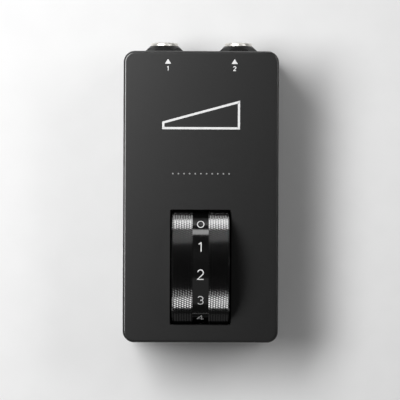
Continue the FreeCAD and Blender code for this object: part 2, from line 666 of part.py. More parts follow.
def jack_contacts(side):
    """Tip, ring and sleeve springs of a jack, each with a crest towards the plug and a leg."""
    springs = []
    for contact_side, y in CONTACTS:
        x = side * JACK_X
        outer = x + contact_side * JACK_CAVITY
        inner = x + contact_side * (JACK_CAVITY - CONTACT_THICKNESS)
        z_range = (JACK_HEIGHT - CONTACT_HALF_HEIGHT, JACK_HEIGHT + CONTACT_HALF_HEIGHT)
        y_range = (y - CONTACT_HALF_LENGTH, y + CONTACT_HALF_LENGTH)
        blade = box(sorted((inner, outer)), y_range, z_range)
        crest_x = x + contact_side * (CONTACT_CREST + CONTACT_CREST_RADIUS)
        crest = rod(CONTACT_CREST_RADIUS, Vector(crest_x, y, z_range[0]),
                    Vector(crest_x, y, z_range[1]))
        limit = box(sorted((x, outer)), y_range, z_range)
        spring = blade.fuse(crest.common(limit)).fuse(contact_pin(side, contact_side, y))
        springs.append(spring.removeSplitter())
    return Part.makeCompound(springs)


def circuit_board():
    """Board under the jacks, with holes for every leg that is soldered to it."""
    board = box((-BOARD_HALF_WIDTH, BOARD_HALF_WIDTH), (BOARD_FRONT, BOARD_REAR),
                (BOARD_BOTTOM, BOARD_TOP))
    places = [(step * HEADER_PITCH, HEADER_Y) for step in (-1, 0, 1)]
    leg_offset = JACK_CAVITY - CONTACT_THICKNESS / 2
    for side in (-1, 1):
        places += [(side * JACK_X + contact_side * leg_offset, y) for contact_side, y in CONTACTS]
        places += [(side * RESISTOR_X, RESISTOR_Y + end * RESISTOR_LEAD_REACH) for end in (-1, 1)]
    for x, y in places:
        board = board.cut(rod(BOARD_HOLE_RADIUS, Vector(x, y, BOARD_BOTTOM),
                              Vector(x, y, BOARD_TOP)))
    return board


def header_pin_box(half_width, step, z_low, z_high):
    """A square bar on one of the header's three pin places."""
    x = step * HEADER_PITCH
    return box((x - half_width, x + half_width), (HEADER_Y - half_width, HEADER_Y + half_width),
               (z_low, z_high))


def board_header():
    """Three-pin header for the harness."""
    y_range = (HEADER_Y - HEADER_HALF_LENGTH, HEADER_Y + HEADER_HALF_LENGTH)
    header = box((-HEADER_HALF_WIDTH, HEADER_HALF_WIDTH), y_range, (BOARD_TOP, HEADER_BASE_TOP))
    for step in (-1, 0, 1):
        header = header.fuse(header_pin_box(HEADER_PIN / 2, step, PIN_END, HEADER_PIN_TOP))
    return header.removeSplitter()


def harness_plug():
    """Socket on the end of the harness, pushed over the header's pins."""
    plug = box((-PLUG_HALF_WIDTH, PLUG_HALF_WIDTH),
               (HEADER_Y - PLUG_HALF_LENGTH, HEADER_Y + PLUG_HALF_LENGTH), (HEADER_BASE_TOP, PLUG_TOP))
    for step in (-1, 0, 1):
        plug = plug.cut(header_pin_box(PLUG_CELL / 2, step, HEADER_BASE_TOP, HEADER_PIN_TOP + 0.2))
    return plug


def board_resistors():
    """Two axial resistors between the jacks, with their leads bent down through the board."""
    resistors = []
    height = BOARD_TOP + RESISTOR_RADIUS + RESISTOR_LIFT
    for side in (-1, 1):
        x = side * RESISTOR_X
        body = rod(RESISTOR_RADIUS, Vector(x, RESISTOR_Y - RESISTOR_LENGTH / 2, height),
                   Vector(x, RESISTOR_Y + RESISTOR_LENGTH / 2, height))
        body = body.makeFillet(RESISTOR_RADIUS * 0.4, body.Edges)
        for end in (-1, 1):
            bend = Vector(x, RESISTOR_Y + end * RESISTOR_LEAD_REACH, height)
            body = body.fuse(rod(RESISTOR_LEAD_RADIUS, Vector(x, RESISTOR_Y, height), bend))
            body = body.fuse(rod(RESISTOR_LEAD_RADIUS, bend, Vector(bend.x, bend.y, PIN_END)))
            body = body.fuse(Part.makeSphere(RESISTOR_LEAD_RADIUS, bend))
        resistors.append(body.removeSplitter())
    return Part.makeCompound(resistors)


def wire_route(step):
    """Points of one harness wire, from the plug's top to its terminal."""
    terminal_x = WAFER_TO + TERMINAL_THICKNESS + WIRE_RADIUS
    height = WHEEL_Z + step * TERMINAL_PITCH
    start = Vector(step * HEADER_PITCH, HEADER_Y, PLUG_TOP)
    return [start, start + Vector(0, 0, 6.5), start + Vector(4.0, -9.0, 8.5),
            Vector(terminal_x - 3.0, 6.0, height + 2.0), Vector(terminal_x, -7.0, height),
            Vector(terminal_x, WHEEL_Y + TERMINAL_TO - 3.5, height)]


def tangent_path(points):
    """Straight runs joined by tangent arcs, each as large as its two runs allow."""
    edges = []
    run_start = points[0]
    for before, corner, after in zip(points, points[1:], points[2:]):
        incoming = (before - corner).normalize()
        outgoing = (after - corner).normalize()
        shorter = min((before - corner).Length, (after - corner).Length)
        half_turn = (math.pi - incoming.getAngle(outgoing)) / 2
        cut_back = 0.45 * shorter
        radius = cut_back / math.tan(half_turn)
        arc_start = corner + incoming * cut_back
        arc_end = corner + outgoing * cut_back
        to_centre = (incoming + outgoing).normalize()
        arc_middle = corner + to_centre * (radius / math.cos(half_turn) - radius)
        edges.append(Part.LineSegment(run_start, arc_start).toShape())
        edges.append(Part.Arc(arc_start, arc_middle, arc_end).toShape())
        run_start = arc_end
        print("wire bend radius %.1f mm" % radius)
    edges.append(Part.LineSegment(run_start, points[-1]).toShape())
    return Part.Wire(edges)


def harness_wire(step):
    """One round insulated wire along its route."""
    points = wire_route(step)
    path = tangent_path(points)
    section = Part.Wire(Part.makeCircle(WIRE_RADIUS, points[0], points[1] - points[0]))
    wire = path.makePipeShell([section], True, True)
    expected = math.pi * WIRE_RADIUS ** 2 * path.Length
    print("wire volume %.2f mm3, section times length %.2f mm3" % (wire.Volume, expected))
    return wire


def all_pieces():
    """Every sub-part by its node's name, drawn about the enclosure's middle."""
    pieces = {
        "enclosure_shell": enclosure_shell(),
        "base_plate": base_plate(),
        "base_screws": base_screws(),
        "bearing_bracket_left": bearing_bracket(-1),
        "bearing_bracket_right": bearing_bracket(1),
        "bracket_screws": bracket_screws(),
        "roller_wheel": roller_wheel(),
        "wheel_grub_screw": wheel_grub_screw(),
        "pot_shaft": pot_shaft(),
        "shaft_clip": shaft_clip(),
        "shaft_bush": shaft_bush(),
        "pot_bushing": pot_bushing(),
        "pot_washer": pot_washer(),
        "pot_nut": pot_nut(),
        "pot_wafer": pot_wafer(),
        "pot_terminals": pot_terminals(),
        "pot_wiper": pot_wiper(),
        "pot_can": pot_can(),
        "circuit_board": circuit_board(),
        "board_header": board_header(),
        "harness_plug": harness_plug(),
        "board_resistors": board_resistors(),
    }
    foot_names = ("foot_front_left", "foot_front_right", "foot_rear_left", "foot_rear_right")
    for name, (x, y) in zip(foot_names, four_corners(FOOT_X, FOOT_Y)):
        pieces[name] = rubber_foot(x, y)
    for name, side in (("jack_1", -1), ("jack_2", 1)):
        pieces[name + "_housing"] = jack_housing(side)
        pieces[name + "_bushing"] = jack_bushing(side)
        pieces[name + "_washer"] = jack_washer(side)
        pieces[name + "_nut"] = jack_nut(side)
        pieces[name + "_contacts"] = jack_contacts(side)
    for name, step in zip(WIRE_NAMES, (-1, 0, 1)):
        pieces[name] = harness_wire(step)
    return pieces


os.makedirs("parts", exist_ok=True)
for node, shape in all_pieces().items():
    shape.translate(Vector(0, MIDDLE_Y, 0))
    shape.exportStep("parts/" + node + ".step")
    facts = (node, len(shape.Solids), shape.Volume, shape.isValid())
    print("%s: %d solid(s), %.1f mm3, valid %s" % facts)
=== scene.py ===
import json
import math

import bmesh
import bpy
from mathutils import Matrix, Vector


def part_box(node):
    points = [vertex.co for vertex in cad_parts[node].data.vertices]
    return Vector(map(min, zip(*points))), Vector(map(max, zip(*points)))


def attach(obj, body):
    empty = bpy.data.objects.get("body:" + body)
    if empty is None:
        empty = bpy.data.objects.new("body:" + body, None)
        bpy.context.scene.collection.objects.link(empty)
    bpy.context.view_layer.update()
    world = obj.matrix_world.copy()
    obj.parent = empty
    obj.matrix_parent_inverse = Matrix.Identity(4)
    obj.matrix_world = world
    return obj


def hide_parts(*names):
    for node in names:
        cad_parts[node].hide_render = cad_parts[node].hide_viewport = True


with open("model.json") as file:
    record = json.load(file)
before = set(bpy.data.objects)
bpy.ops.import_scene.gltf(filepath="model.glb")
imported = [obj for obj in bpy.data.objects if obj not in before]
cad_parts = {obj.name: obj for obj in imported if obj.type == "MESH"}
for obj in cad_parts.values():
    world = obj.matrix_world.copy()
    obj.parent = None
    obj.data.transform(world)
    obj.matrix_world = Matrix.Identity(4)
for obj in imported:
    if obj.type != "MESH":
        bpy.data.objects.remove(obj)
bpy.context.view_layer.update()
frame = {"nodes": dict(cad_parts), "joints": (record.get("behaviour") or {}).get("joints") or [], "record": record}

# Sizes are in millimetres and become metres in the helpers below. +X is right, +Y is towards
# the jacks and +Z is up, as in the CAD model. "Front" is -Y.
MM = 0.001

# The photograph's view: straight down, from about a metre over the face. The turn is in degrees.
VIEW_DISTANCE = 1000.0
VIEW_WIDTH = 154.2
SENSOR = 36.0
VIEW_X = -0.31
VIEW_Y = -1.24
VIEW_TURN = 0.24

# The wheel, about its own axis. Radii as on the CAD wheel.
BAND_RADIUS = 21.9
CREST_RADIUS = 22.4
BAND_EDGE = 3.1
WHEEL_EDGE = 11.1
CHAMFER_WIDTH = 0.9
CHAMFER_DEPTH = 0.5
RECESS_RADIUS = 9.0
RECESS_FLOOR = 7.5
BORE_RADIUS = 3.02
ACCESS_RADIUS = 1.9
ACCESS_FLOOR = BORE_RADIUS + 5.0
ACCESS_TOP = CREST_RADIUS + 1.0
ACCESS_SIDES = 48

# Diamond knurl: teeth round the wheel, and columns of teeth across each raised band. The neighbours are
# the steps from a tooth to the four pits round it, as (columns, rows).
TEETH_ROUND = 140
COLUMN_STEP = 0.985
KNURL_MIDDLE = 6.52
KNURL_DEPTH = 0.425
KNURL_FLAT = 0.12
COLUMNS_EACH_WAY = 6
COLUMNS_TO_BAND = 4
NEIGHBOURS = ((1, 0), (0, 1), (-1, 0), (0, -1))

# Dial. The step between its numbers is in degrees, and the reading is what the top of the wheel shows.
DIAL_STEP = 28.0
DIAL_READING = 1.77
DIAL_NUMBERS = range(11)
DIGIT_HEIGHT = 4.0
DIGIT_STROKE = 0.34
DIGIT_GAP = 2.5

# Print: the longest step along a stroke, the least cosine at a mitred corner, and how far the ink
# reaches under and over the surface
STROKE_STEP = 0.4
MITRE_LIMIT = 0.6
PRINT_BELOW = 0.02
PRINT_ABOVE = 0.03

# Printed marks on the face, from the enclosure's middle
MARK_X = 12.85
ARROW_Y = 52.2
ARROW_WIDTH = 2.4
ARROW_HEIGHT = 1.9
LABEL_Y = 49.45
LABEL_HEIGHT = 1.9
LABEL_STROKE = 0.31
WEDGE_Y = 31.5
WEDGE_WIDTH = 30.0
WEDGE_HEIGHT = 11.0
WEDGE_LOW_END = 2.2
WEDGE_STROKE = 0.85
DOTS_Y = 8.9
DOTS_SPAN = 21.7
DOTS = 11
DOT_RADIUS = 0.32
DOT_SIDES = 24

# Textures. The colour and the gloss vary over patches of so many grains, and each uses the middle of
# its noise's range. A brushed metal's lines have a width, a depth and a spread of their own.
COLOUR_GRAINS = 6
GLOSS_GRAINS = 3
COLOUR_FACTORS = (0.35, 0.65)
GLOSS_FACTORS = (0.3, 0.7)
LINE_WIDTH = 0.25
LINE_DEPTH = 0.004
LINE_DETAIL = 3.0
LINE_GLOSS_SPREAD = 0.25
LINE_COLOUR_WIDTH = 1.5
LINE_COLOUR_SPREAD = 0.08
ALONG_X = (0.04, 1, 1)
ALONG_Z = (1, 1, 0.04)

# Edges sharper than this many degrees stay sharp
WHEEL_SHARP_ANGLE = 20
CAD_SHARP_ANGLE = 30

# Tolerances of the cuts and joins, in metres, and of a place along the wheel's axis, in millimetres
CUT_TOLERANCE = 1e-9
JOIN_TOLERANCE = 1e-8
PLACE_TOLERANCE = 1e-3

# Studio: the floor's width, and how bright the surround is as a light and to the camera
FLOOR_WIDTH = 340.0
FLOOR_SHADE = 0.78
SURROUND_LIGHT = 0.03
SURROUND_SEEN = 0.80

# Light panels: azimuth and elevation in degrees, distance, width and height in metres, radiance.
# Azimuth 0 is behind the object (+Y) and 90 is right.
PANELS = {
    "key": (-63, 57, 0.54, 0.42, 0.22, 12.2),
    "right_box": (64, 44, 0.90, 0.55, 0.22, 4.0),
    "far_strip": (0, 14, 0.80, 0.60, 0.18, 3.2),
    "near_card": (180, 38, 0.90, 0.90, 1.00, 0.15),
    "left_card": (-138, 35, 0.90, 0.45, 0.40, 0.22),
}


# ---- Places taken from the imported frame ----

cover_low, cover_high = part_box("enclosure_shell")
cover_middle = (cover_low + cover_high) / 2
FACE_MIDDLE = Vector((cover_middle.x, cover_middle.y, cover_high.z))
AXLE = Vector(frame["joints"][0]["pos_m"])


# ---- Mesh helpers ----

def new_object(name, bm):
    """Makes an object of a bmesh, at the origin of the frame."""
    mesh = bpy.data.meshes.new(name)
    bmesh.ops.recalc_face_normals(bm, faces=bm.faces)
    bm.to_mesh(mesh)
    bm.free()
    piece = bpy.data.objects.new(name, mesh)
    bpy.context.scene.collection.objects.link(piece)
    return piece


def smooth_below(mesh, degrees):
    """Shades a mesh smooth, except at the edges that turn by more than the given angle."""
    for polygon in mesh.polygons:
        polygon.use_smooth = True
    mesh.set_sharp_from_angle(angle=math.radians(degrees))


def wheel_place(x, radius, angle):
    """A point on the wheel, in metres. The angle turns from +Z towards +Y."""
    return AXLE + Vector((x, radius * math.sin(angle), radius * math.cos(angle))) * MM


def arc_points(centre, radius, start, end, steps=20):
    """Points along an arc, with the angles in degrees. It runs clockwise if end is less than start."""
    points = []
    for step in range(steps + 1):
        angle = math.radians(start + (end - start) * step / steps)
        points.append((centre[0] + radius * math.cos(angle), centre[1] + radius * math.sin(angle)))
    return points


def ring_points(centre, radius_x, radius_y, steps=40):
    """Points round a closed ellipse."""
    return [(centre[0] + radius_x * math.cos(2 * math.pi * step / steps),
             centre[1] + radius_y * math.sin(2 * math.pi * step / steps)) for step in range(steps)]


def digit_strokes(digit):
    """The centre lines of a digit, as (closed, points). The digit is 2 units tall about (0, 0)."""
    return {
        "0": [(True, ring_points((0, 0), 0.68, 1.0))],
        "1": [(False, [(-0.38, 0.62), (0.10, 1.0), (0.10, -1.0)])],
        "2": [(False, arc_points((0, 0.42), 0.58, 168, -38) + [(-0.62, -1.0), (0.64, -1.0)])],
        "3": [(False, arc_points((0, 0.48), 0.52, 155, -90)),
              (False, arc_points((0, -0.46), 0.56, 90, -155))],
        "4": [(False, [(0.28, 1.0), (0.28, -1.0)]),
              (False, [(0.22, 1.0), (-0.70, -0.45), (0.68, -0.45)])],
        "5": [(False, [(0.50, 1.0), (-0.38, 1.0), (-0.47, 0.10)]
               + arc_points((-0.04, -0.38), 0.62, 130, -155))],
        "6": [(True, ring_points((0, -0.42), 0.58, 0.58)), (False, [(-0.53, -0.19), (0.20, 1.0)])],
        "7": [(False, [(-0.60, 1.0), (0.60, 1.0), (-0.24, -1.0)])],
        "8": [(True, ring_points((0, 0.53), 0.47, 0.47)), (True, ring_points((0, -0.47), 0.53, 0.53))],
        "9": [(True, ring_points((0, 0.42), 0.58, 0.58)), (False, [(0.53, 0.19), (-0.20, -1.0)])],
    }[digit]


def side_step(points, index, closed):
    """The unit step to the left of a line at one of its points, lengthened at a mitred corner."""
    count = len(points)
    here = Vector(points[index])
    before = Vector(points[index - 1]) if closed or index > 0 else None
    after = Vector(points[(index + 1) % count]) if closed or index < count - 1 else None
    normals = []
    for start, end in ((before, here), (here, after)):
        if start is not None and end is not None:
            along = (end - start).normalized()
            normals.append(Vector((-along.y, along.x)))
    middle = sum(normals, Vector((0, 0))).normalized()
    return middle / max(middle.dot(normals[0]), MITRE_LIMIT)


def with_short_steps(points, closed):
    """The same line with no step longer than STROKE_STEP, so that it can follow a curved surface."""
    ends = points[1:] + points[:1] if closed else points[1:]
    dense = []
    for start, end in zip(points, ends):
        count = max(1, math.ceil(math.dist(start, end) / STROKE_STEP))
        dense += [(start[0] + (end[0] - start[0]) * step / count,
                   start[1] + (end[1] - start[1]) * step / count) for step in range(count)]
    return dense if closed else dense + points[-1:]


def add_ribbon(bm, points, closed, width, place):
    """Adds a thin printed stroke. place(u, v, h) gives a point at height h over the surface."""
    points = with_short_steps(points, closed)
    rows = []
    for index, (u, v) in enumerate(points):
        step = side_step(points, index, closed) * (width / 2)
        corners = ((u + step.x, v + step.y, -PRINT_BELOW), (u + step.x, v + step.y, PRINT_ABOVE),
                   (u - step.x, v - step.y, PRINT_ABOVE), (u - step.x, v - step.y, -PRINT_BELOW))
        rows.append([bm.verts.new(place(*corner)) for corner in corners])
    pairs = list(zip(rows, rows[1:]))
    if closed:
        pairs.append((rows[-1], rows[0]))
    for first, second in pairs:
        for side in range(4):
            other = (side + 1) % 4
            bm.faces.new((first[side], first[other], second[other], second[side]))
    if not closed:
        bm.faces.new(rows[0])
        bm.faces.new(list(reversed(rows[-1])))


def add_plate(bm, outline, place):
    """Adds a thin printed patch with the given convex outline."""
    lower = [bm.verts.new(place(u, v, -PRINT_BELOW)) for u, v in outline]
    upper = [bm.verts.new(place(u, v, PRINT_ABOVE)) for u, v in outline]
    bm.faces.new(list(reversed(lower)))
    bm.faces.new(upper)
    for index in range(len(outline)):
        other = (index + 1) % len(outline)
        bm.faces.new((lower[index], lower[other], upper[other], upper[index]))


def add_digits(bm, text, height, stroke, gap, place):
    """Adds a number made of digit strokes, centred on (0, 0)."""
    scale = (height - stroke) / 2
    for index, digit in enumerate(text):
        shift = (index - (len(text) - 1) / 2) * gap
        for closed, points in digit_strokes(digit):
            moved = [(u * scale + shift, v * scale) for u, v in points]
            add_ribbon(bm, moved, closed, stroke, place)


def face_place(x, y):
    """Gives the place function of a mark on the face, centred x and y from the enclosure's middle."""
    def place(u, v, h):
        return FACE_MIDDLE + Vector((x + u, y + v, h)) * MM
    return place


def dial_place(number):
    """Gives the place function of a number on the wheel's smooth band."""
    towards_front = math.radians((number - DIAL_READING) * DIAL_STEP)

    def place(u, v, h):
        return wheel_place(u, BAND_RADIUS + h, v / BAND_RADIUS - towards_front)
    return place


# ---- Materials ----

def material(name, colour, roughness, metallic=0.0, coat=0.0, specular=0.5):
    """A node material with one Principled shader, for the functions below to add to."""
    made = bpy.data.materials.new(name)
    made.use_nodes = True
    shader = made.node_tree.nodes["Principled BSDF"]
    shader.inputs["Base Color"].default_value = (*colour, 1)
    shader.inputs["Roughness"].default_value = roughness
    shader.inputs["Metallic"].default_value = metallic
    shader.inputs["Coat Weight"].default_value = coat
    shader.inputs["Specular IOR Level"].default_value = specular
    return made


def add_noise(made, size, detail=2.0, stretch=(1, 1, 1)):
    """A noise texture whose features are about size millimetres across. Returns its output."""
    nodes, links = made.node_tree.nodes, made.node_tree.links
    coordinates = nodes.new("ShaderNodeTexCoord")
    mapping = nodes.new("ShaderNodeMapping")
    mapping.inputs["Scale"].default_value = stretch
    noise = nodes.new("ShaderNodeTexNoise")
    noise.inputs["Scale"].default_value = 1 / (size * MM)
    noise.inputs["Detail"].default_value = detail
    links.new(coordinates.outputs["Object"], mapping.inputs["Vector"])
    links.new(mapping.outputs["Vector"], noise.inputs["Vector"])
    return noise.outputs["Fac"]


def vary_roughness(made, value, roughness, spread):
    """Varies the roughness by a share of itself either way with a texture value."""
    nodes, links = made.node_tree.nodes, made.node_tree.links
    ramp = nodes.new("ShaderNodeMapRange")
    ramp.inputs["From Min"].default_value = GLOSS_FACTORS[0]
    ramp.inputs["From Max"].default_value = GLOSS_FACTORS[1]
    ramp.inputs["To Min"].default_value = roughness * (1 - spread)
    ramp.inputs["To Max"].default_value = min(1, roughness * (1 + spread))
    links.new(value, ramp.inputs["Value"])
    links.new(ramp.outputs["Result"], nodes["Principled BSDF"].inputs["Roughness"])


def vary_colour(made, value, first, second):
    """Mixes the base colour between two colours with a texture value."""
    nodes, links = made.node_tree.nodes, made.node_tree.links
    ramp = nodes.new("ShaderNodeValToRGB")
    for element, position, colour in zip(ramp.color_ramp.elements, COLOUR_FACTORS, (first, second)):
        element.position = position
        element.color = (*colour, 1)
    links.new(value, ramp.inputs["Fac"])
    links.new(ramp.outputs["Color"], nodes["Principled BSDF"].inputs["Base Color"])


def bump(made, value, depth):
    """Raises the surface by up to depth millimetres with a texture value."""
    nodes, links = made.node_tree.nodes, made.node_tree.links
    node = nodes.new("ShaderNodeBump")
    node.inputs["Distance"].default_value = depth * MM
    links.new(value, node.inputs["Height"])
    links.new(node.outputs["Normal"], nodes["Principled BSDF"].inputs["Normal"])


def shades(colour, spread):
    """A darker and a lighter version of a colour."""
    darker = tuple(channel * (1 - spread) for channel in colour)
    lighter = tuple(min(1, channel * (1 + spread)) for channel in colour)
    return darker, lighter


def grained(name, colour, roughness, grain_mm, depth_mm, spread=0.12, gloss_spread=0.1, **more):
    """A material with fine grain in its height, colour and gloss."""
    made = material(name, colour, roughness, **more)
    vary_colour(made, add_noise(made, grain_mm * COLOUR_GRAINS), *shades(colour, spread))
    vary_roughness(made, add_noise(made, grain_mm * GLOSS_GRAINS), roughness, gloss_spread)
    bump(made, add_noise(made, grain_mm), depth_mm)
    return made


def brushed(name, colour, roughness, stretch):
    """A metal with fine lines: small across the lines, and long along them."""
    made = material(name, colour, roughness, metallic=1.0)
    lines = add_noise(made, LINE_WIDTH, LINE_DETAIL, stretch)
    vary_roughness(made, lines, roughness, LINE_GLOSS_SPREAD)
    patches = add_noise(made, LINE_COLOUR_WIDTH, LINE_DETAIL, stretch)
    vary_colour(made, patches, *shades(colour, LINE_COLOUR_SPREAD))
    bump(made, lines, LINE_DEPTH)
    return made


def slot_materials():
    """The material of every slot in the record. After its name and colour, each has its roughness, and
    then the grain's size and depth in millimetres, or the direction of the lines."""
    return {
        "cover_paint": grained("matte_powder_coat", (0.004,) * 3, 0.31, 0.15, 0.002,
                               gloss_spread=0.03, specular=0.93),
        "black_anodised": grained("black_anodised", (0.003,) * 3, 0.12, 0.2, 0.0005, specular=1.0),
        "black_metal": grained("black_plated", (0.005,) * 3, 0.35, 0.3, 0.002, specular=0.3),
        "black_steel": brushed("black_oxide", (0.05, 0.05, 0.052), 0.4, ALONG_Z),
        "zinc_steel": brushed("zinc_plate", (0.62, 0.63, 0.65), 0.32, ALONG_X),
        "nickel": brushed("satin_nickel", (0.93, 0.91, 0.86), 0.45, ALONG_X),
        "bronze": brushed("bearing_bronze", (0.58, 0.38, 0.20), 0.35, ALONG_X),
        "tinned_brass": brushed("tinned_brass", (0.72, 0.70, 0.64), 0.3, ALONG_Z),
        "rubber": grained("soft_rubber", (0.016,) * 3, 0.75, 0.5, 0.02),
        "jack_plastic": grained("black_nylon", (0.02,) * 3, 0.45, 0.4, 0.006),
        "phenolic": grained("phenolic_board", (0.30, 0.17, 0.08), 0.55, 0.5, 0.008, spread=0.25),
        "white_nylon": grained("natural_nylon", (0.80, 0.79, 0.74), 0.5, 0.5, 0.004, spread=0.04),
        "board_green": grained("solder_mask", (0.02, 0.16, 0.06), 0.25, 0.6, 0.004, coat=0.3),
        "header_plastic": grained("ivory_nylon", (0.82, 0.80, 0.74), 0.4, 0.5, 0.004, spread=0.04),
        "resistor_body": grained("resistor_lacquer", (0.45, 0.56, 0.66), 0.3, 0.5, 0.006, coat=0.4),
        "wire_black": grained("black_insulation", (0.02,) * 3, 0.45, 0.3, 0.004),
        "wire_white": grained("white_insulation", (0.80, 0.80, 0.78), 0.45, 0.3, 0.004, spread=0.04),
        "wire_red": grained("red_insulation", (0.50, 0.02, 0.02), 0.45, 0.3, 0.004),
        "white_print": grained("white_print", (0.72,) * 3, 0.5, 0.3, 0.002, spread=0.05),
    }


def give(piece, made):
    """Makes one material the only material of a piece."""
    piece.data.materials.clear()
    piece.data.materials.append(made)


# ---- Wheel ----

def add_knurl(bm, side):
    """Adds the knurl of one half of the wheel, drawn on the right: rows of flat-topped pyramids whose
    corners meet at the pits. On the left half a column lies as far outside the band's edge as one on
    the right half lies inside it, and the teeth are one row further round."""
    rows = TEETH_ROUND * 2
    pit_radius = CREST_RADIUS - KNURL_DEPTH
    middle = KNURL_MIDDLE
    first_row = 0
    if side < 0:
        nearest_column = KNURL_MIDDLE - COLUMNS_TO_BAND * COLUMN_STEP
        middle = 2 * BAND_EDGE - nearest_column + (COLUMNS_TO_BAND - 1) * COLUMN_STEP
        first_row = 1
    pits = {}

    def point(column, row, radius):
        return wheel_place(middle + column * COLUMN_STEP, radius, 2 * math.pi * row / rows)

    def pit(column, row):
        key = (column, row % rows)
        if key not in pits:
            pits[key] = bm.verts.new(point(column, row % rows, pit_radius))
        return pits[key]

    for column in range(-COLUMNS_EACH_WAY, COLUMNS_EACH_WAY + 1):
        for row in range(rows):
            if (column + row + first_row) % 2:
                continue
            top = [bm.verts.new(point(column + KNURL_FLAT * across, row + KNURL_FLAT * onward,
                                      CREST_RADIUS)) for across, onward in NEIGHBOURS]
            low = [pit(column + across, row + onward) for across, onward in NEIGHBOURS]
            bm.faces.new(top)
            for corner in range(4):
                other = (corner + 1) % 4
                bm.faces.new((top[corner], low[corner], low[other], top[other]))


def knurled_half(side):
    """Half of the wheel, drawn on the right: knurled band, chamfer, flank, recess and smooth band."""
    bm = bmesh.new()
    add_knurl(bm, side)
    cut_across(bm, BAND_EDGE, -1)
    lean(bm, -CHAMFER_WIDTH / CHAMFER_DEPTH)
    cut_across(bm, WHEEL_EDGE - CHAMFER_WIDTH, 1)
    lean(bm, CHAMFER_WIDTH / CHAMFER_DEPTH)
    inner = border_edges(bm, BAND_EDGE, True)
    outer = border_edges(bm, BAND_EDGE, False)
    for x, radius in ((BAND_EDGE, BAND_RADIUS), (0.0, BAND_RADIUS)):
        inner = pull_ring(bm, inner, x, radius)
    for x, radius in ((WHEEL_EDGE, CREST_RADIUS - CHAMFER_DEPTH), (WHEEL_EDGE, RECESS_RADIUS),
                      (RECESS_FLOOR, RECESS_RADIUS), (RECESS_FLOOR, BORE_RADIUS), (0.0, BORE_RADIUS)):
        outer = pull_ring(bm, outer, x, radius)
    return bm


def cut_across(bm, x, side):
    """Cuts a half of the wheel square to its axis at x, and drops what lies on one side of there."""
    everything = bm.verts[:] + bm.edges[:] + bm.faces[:]
    place = AXLE + Vector((x * MM, 0, 0))
    bmesh.ops.bisect_plane(bm, geom=everything, dist=CUT_TOLERANCE, plane_co=place,
                           plane_no=Vector((side, 0, 0)), clear_outer=True)


def lean(bm, slope):
    """Moves each vertex along the axis by slope times its depth under the crests. A flat cut that is
    made while the mesh leans is a conical one after it leans back."""
    for vertex in bm.verts:
        vertex.co.x += slope * (CREST_RADIUS - wheel_radius(vertex)) * MM


def wheel_radius(vertex):
    """How far a vertex is from the wheel's axis, in millimetres."""
    return math.hypot(vertex.co.y - AXLE.y, vertex.co.z - AXLE.z) / MM


def border_edges(bm, x_limit, inner):
    """The open edges on one side of a band, inside or outside x_limit."""
    found = []
    for edge in bm.edges:
        if len(edge.link_faces) == 1:
            x = max((vertex.co.x - AXLE.x) / MM for vertex in edge.verts)
            if (x < x_limit + PLACE_TOLERANCE) == inner:
                found.append(edge)
    return found


def pull_ring(bm, edges, x, radius):
    """Extrudes a ring of edges to a circle at x with the given radius. Returns the new edges."""
    made = bmesh.ops.extrude_edge_only(bm, edges=edges)["geom"]
    for vertex in [item for item in made if isinstance(item, bmesh.types.BMVert)]:
        angle = math.atan2(vertex.co.y - AXLE.y, vertex.co.z - AXLE.z)
        vertex.co = wheel_place(x, radius, angle)
    return [item for item in made if isinstance(item, bmesh.types.BMEdge)]


def whole_wheel_mesh():
    """The two halves of the wheel joined along its middle, as a bmesh."""
    bm = knurled_half(-1)
    bmesh.ops.scale(bm, vec=(-1, 1, 1), verts=bm.verts)
    bmesh.ops.reverse_faces(bm, faces=bm.faces)
    right = bpy.data.meshes.new("right_half")
    other = knurled_half(1)
    other.to_mesh(right)
    other.free()
    bm.from_mesh(right)
    bpy.data.meshes.remove(right)
    bmesh.ops.remove_doubles(bm, verts=bm.verts, dist=JOIN_TOLERANCE)
    return bm


def drilling():
    """A round bar where the hole for the grub screw goes, one dial step before the zero."""
    angle = math.radians((1 + DIAL_READING) * DIAL_STEP)
    round_wheel = Vector((0, math.cos(angle), -math.sin(angle)))
    bm = bmesh.new()
    rings = []
    for distance in (ACCESS_FLOOR, ACCESS_TOP):
        ring = []
        for step in range(ACCESS_SIDES):
            turn = 2 * math.pi * step / ACCESS_SIDES
            across = round_wheel * (ACCESS_RADIUS * math.sin(turn) * MM)
            along = Vector((ACCESS_RADIUS * math.cos(turn) * MM, 0, 0))
            ring.append(bm.verts.new(wheel_place(0, distance, angle) + along + across))
        rings.append(ring)
    bm.faces.new(rings[0])
    bm.faces.new(list(reversed(rings[1])))
    for index in range(ACCESS_SIDES):
        other = (index + 1) % ACCESS_SIDES
        bm.faces.new((rings[0][index], rings[1][index], rings[1][other], rings[0][other]))
    return new_object("wheel_drilling", bm)


def make_wheel():
    """The whole wheel, with the drilling for its grub screw."""
    wheel = new_object("knurled_wheel", whole_wheel_mesh())
    drill = drilling()
    cut = wheel.modifiers.new("drilling", "BOOLEAN")
    cut.operation = "DIFFERENCE"
    cut.solver = "EXACT"
    cut.object = drill
    shape = wheel.evaluated_get(bpy.context.evaluated_depsgraph_get())
    drilled = bpy.data.meshes.new_from_object(shape)
    wheel.modifiers.clear()
    wheel.data = drilled
    bpy.data.objects.remove(drill)
    smooth_below(wheel.data, WHEEL_SHARP_ANGLE)
    return wheel


def make_dial_numbers():
    """The numbers round the wheel's smooth band."""
    bm = bmesh.new()
    for number in DIAL_NUMBERS:
        add_digits(bm, str(number), DIGIT_HEIGHT, DIGIT_STROKE, DIGIT_GAP, dial_place(number))
    return new_object("dial_numbers", bm)


# ---- Printed marks ----

